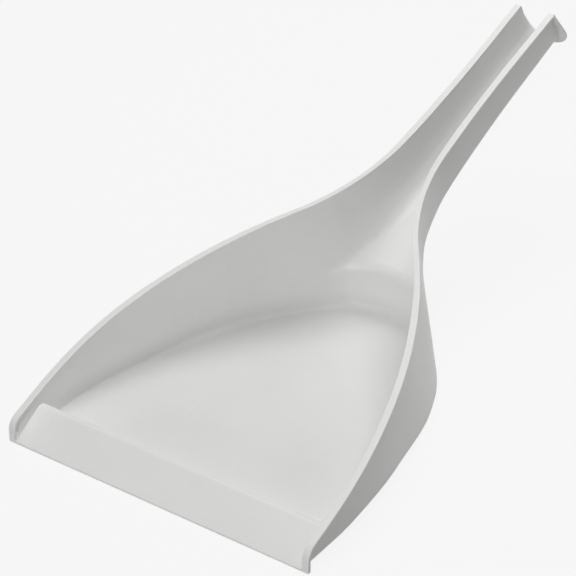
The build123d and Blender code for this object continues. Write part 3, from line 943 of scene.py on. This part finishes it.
def make_plastic(name):
    """Pale satin plastic: cloudy grey, fine moulded grain, faint scuffs, and rounded edges painted paler,
    partly as wear and partly as a painted highlight.
    """
    material = bpy.data.materials.new(name)
    material.use_nodes = True
    tree = material.node_tree
    shader = tree.nodes["Principled BSDF"]
    shader.inputs["Base Color"].default_value = PLASTIC_GREY
    shader.inputs["Roughness"].default_value = PLASTIC_ROUGHNESS
    shader.inputs["IOR"].default_value = PLASTIC_IOR
    place = tree.nodes.new("ShaderNodeTexCoord").outputs["Object"]

    def noise(scale, detail, stretch=(1, 1, 1)):
        mapping = tree.nodes.new("ShaderNodeMapping")
        mapping.inputs["Scale"].default_value = stretch
        tree.links.new(place, mapping.inputs["Vector"])
        node = tree.nodes.new("ShaderNodeTexNoise")
        node.inputs["Scale"].default_value = scale
        node.inputs["Detail"].default_value = detail
        tree.links.new(mapping.outputs[0], node.inputs["Vector"])
        return node.outputs[0]

    def spread_out(value, low, high, to_low, to_high):
        node = tree.nodes.new("ShaderNodeMapRange")
        node.inputs["From Min"].default_value = low
        node.inputs["From Max"].default_value = high
        node.inputs["To Min"].default_value = to_low
        node.inputs["To Max"].default_value = to_high
        tree.links.new(value, node.inputs["Value"])
        return node.outputs[0]

    def mix(share, first, second):
        node = tree.nodes.new("ShaderNodeMix")
        node.data_type = "RGBA"
        tree.links.new(share, node.inputs["Factor"])
        for socket, colour in ((node.inputs["A"], first), (node.inputs["B"], second)):
            if isinstance(colour, tuple):
                socket.default_value = colour
            else:
                tree.links.new(colour, socket)
        return node.outputs["Result"]

    def total(first, second):
        node = tree.nodes.new("ShaderNodeMath")
        node.operation = "ADD"
        tree.links.new(first, node.inputs[0])
        tree.links.new(second, node.inputs[1])
        return node.outputs[0]

    cloud = noise(CLOUD_SCALE, detail=4.0)
    grain = noise(GRAIN_SCALE, detail=2.0)
    fleck = noise(FLECK_SCALE, detail=1.0)
    scuff = noise(1.0, detail=3.0, stretch=SCUFF_SCALES)
    # Rounded edges painted paler: partly edge wear, partly a painted highlight
    highlight_and_wear_on_edges = tree.nodes.new("ShaderNodeAttribute")
    highlight_and_wear_on_edges.attribute_name = "edge_highlight_and_wear"
    edge = spread_out(highlight_and_wear_on_edges.outputs["Fac"], 0.2, 1.0, 0.0, 0.5)
    rubbed = spread_out(scuff, 0.62, 0.8, 0.0, 0.45)

    colour = mix(spread_out(cloud, 0.3, 0.7, 0.0, 1.0), PLASTIC_SHADE, PLASTIC_GREY)
    colour = mix(spread_out(fleck, 0.66, 0.82, 0.0, 0.3), colour, PLASTIC_SPECK)
    colour = mix(rubbed, colour, PLASTIC_SCUFF)
    colour = mix(edge, colour, PLASTIC_EDGE_SHEEN_AND_WEAR)
    tree.links.new(colour, shader.inputs["Base Color"])

    dull = total(spread_out(cloud, 0.3, 0.7, 0.35, 0.43), spread_out(scuff, 0.4, 0.8, -0.02, 0.06))
    tree.links.new(dull, shader.inputs["Roughness"])

    bump = tree.nodes.new("ShaderNodeBump")
    bump.inputs["Strength"].default_value = GRAIN_STRENGTH
    bump.inputs["Distance"].default_value = GRAIN_DEPTH
    tree.links.new(total(grain, spread_out(scuff, 0.55, 0.85, 0.0, -0.5)), bump.inputs["Height"])
    tree.links.new(bump.outputs[0], shader.inputs["Normal"])
    return material


PLASTIC = make_plastic("shell_plastic")

_, inner_reach, inner_level = sheet_floor(INNER)
rim_y, rim_height, rim_angle = rim_rows(inner_reach[:, -1], inner_level[:, -1])
inner = build_face(INNER, rim_y, rim_height)
outer = build_face(OUTER, rim_y, rim_height)

WALL_COLUMNS = len(NEAR) - 1 + WALL_SHARES
LEFT_EDGE = WALL_COLUMNS + len(NEAR) - 1
RIGHT_EDGE = WALL_COLUMNS + COLUMNS - len(NEAR)
NECK_END_ROW = int(np.argmin(np.abs(inner_reach[:, -1] - NECK_END)))

LEFT = slice(0, LEFT_EDGE + 1)
MIDDLE = slice(LEFT_EDGE, RIGHT_EDGE + 1)
RIGHT = slice(RIGHT_EDGE, None)
WHOLE = slice(None)

SECTIONS = {
    "pan_floor": (slice(HEEL_ROW, BACK_START_ROW + 1), MIDDLE),
    "left_wall": (slice(0, NECK_START_ROW + 1), LEFT),
    "right_wall": (slice(0, NECK_START_ROW + 1), RIGHT),
    "back_wall": (slice(BACK_START_ROW, NECK_START_ROW + 1), MIDDLE),
    "neck": (slice(NECK_START_ROW, NECK_END_ROW + 1), WHOLE),
    "grip": (slice(NECK_END_ROW, None), WHOLE),
}
for section, (rows, columns) in SECTIONS.items():
    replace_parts(block(inner, outer, rows, columns, f"{section}_mesh", PLASTIC), section)

for section, side in (("left_rim", -1), ("right_rim", 1)):
    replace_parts(make_rim(side, rim_y, rim_height, rim_angle, f"{section}_mesh", PLASTIC), section)

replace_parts(make_ramp("front_ramp_mesh", PLASTIC), "front_ramp")
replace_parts(make_flange(inner[0][-1], outer[0][-1], "end_flange_mesh", PLASTIC), "end_flange")


def aim_camera():
    """Camera at the photograph's place, from the middle of the front edge."""
    x, y, z = CAMERA_PLACE
    data = bpy.data.cameras.new("camera")
    data.sensor_width = SENSOR_WIDTH
    data.lens = FOCAL_PIXELS / FRAME_PIXELS * SENSOR_WIDTH
    camera = bpy.data.objects.new("camera", data)
    camera.location = (x * MM, (FRONT_Y + y) * MM, z * MM)
    camera.rotation_euler = (pi / 2 - CAMERA_ELEVATION, 0, CAMERA_AZIMUTH)
    bpy.context.scene.collection.objects.link(camera)
    bpy.context.scene.camera = camera


def area_light(name, place, aim, size, watts):
    """Round lamp at a place, turned to its aim."""
    data = bpy.data.lights.new(name, "AREA")
    data.shape = "DISK"
    data.size = size
    data.energy = watts
    lamp = bpy.data.objects.new(name, data)
    lamp.location = place
    direction = np.array(aim) - np.array(place)
    lamp.rotation_euler = (
        atan2(sqrt(direction[0] ** 2 + direction[1] ** 2), -direction[2]),
        0,
        atan2(direction[1], direction[0]) - pi / 2,
    )
    bpy.context.scene.collection.objects.link(lamp)


def seen_directly(tree):
    """Output that is 1 for the camera, for reflections and through clear things."""
    path = tree.nodes.new("ShaderNodeLightPath")
    first = tree.nodes.new("ShaderNodeMath")
    first.operation = "MAXIMUM"
    tree.links.new(path.outputs["Is Camera Ray"], first.inputs[0])
    tree.links.new(path.outputs["Is Glossy Ray"], first.inputs[1])
    second = tree.nodes.new("ShaderNodeMath")
    second.operation = "MAXIMUM"
    tree.links.new(first.outputs[0], second.inputs[0])
    tree.links.new(path.outputs["Is Transmission Ray"], second.inputs[1])
    return second.outputs[0]


def light_scene():
    """Large soft lamps, and a world that gives even light and looks white."""
    for name, place, size, watts in LAMPS:
        area_light(name, place, LAMP_AIM, size, watts)
    world = bpy.data.worlds.new("world")
    bpy.context.scene.world = world
    world.use_nodes = True
    tree = world.node_tree
    glow = tree.nodes["Background"]
    glow.inputs["Color"].default_value = (1, 1, 1, 1)
    glow.inputs["Strength"].default_value = WORLD_STRENGTH
    white = tree.nodes.new("ShaderNodeBackground")
    white.inputs["Color"].default_value = (1, 1, 1, 1)
    mix = tree.nodes.new("ShaderNodeMixShader")
    tree.links.new(seen_directly(tree), mix.inputs[0])
    tree.links.new(glow.outputs[0], mix.inputs[1])
    tree.links.new(white.outputs[0], mix.inputs[2])
    tree.links.new(mix.outputs[0], tree.nodes["World Output"].inputs[0])


def make_stage():
    """Pale floor that keeps the object's shadow."""
    mesh = bpy.data.meshes.new("floor")
    corners = [(x * STAGE_HALF, y * STAGE_HALF, 0) for x, y in ((-1, -1), (1, -1), (1, 1), (-1, 1))]
    mesh.from_pydata(corners, [], [(0, 1, 2, 3)])
    floor = bpy.data.objects.new("floor", mesh)
    floor.location.z = -STAGE_DROP
    bpy.context.scene.collection.objects.link(floor)
    material = bpy.data.materials.new("floor_white")
    material.use_nodes = True
    tree = material.node_tree
    shader = tree.nodes["Principled BSDF"]
    shader.inputs["Base Color"].default_value = FLOOR_GREY
    shader.inputs["Roughness"].default_value = STAGE_ROUGHNESS
    glow = tree.nodes.new("ShaderNodeEmission")
    mix = tree.nodes.new("ShaderNodeMixShader")
    share = tree.nodes.new("ShaderNodeMath")
    share.operation = "MULTIPLY"
    share.inputs[1].default_value = FLOOR_GLOW
    tree.links.new(seen_directly(tree), share.inputs[0])
    tree.links.new(share.outputs[0], mix.inputs[0])
    tree.links.new(shader.outputs[0], mix.inputs[1])
    tree.links.new(glow.outputs[0], mix.inputs[2])
    tree.links.new(mix.outputs[0], tree.nodes["Material Output"].inputs[0])
    mesh.materials.append(material)


aim_camera()
light_scene()
make_stage()
bpy.context.scene.view_settings.view_transform = "Standard"
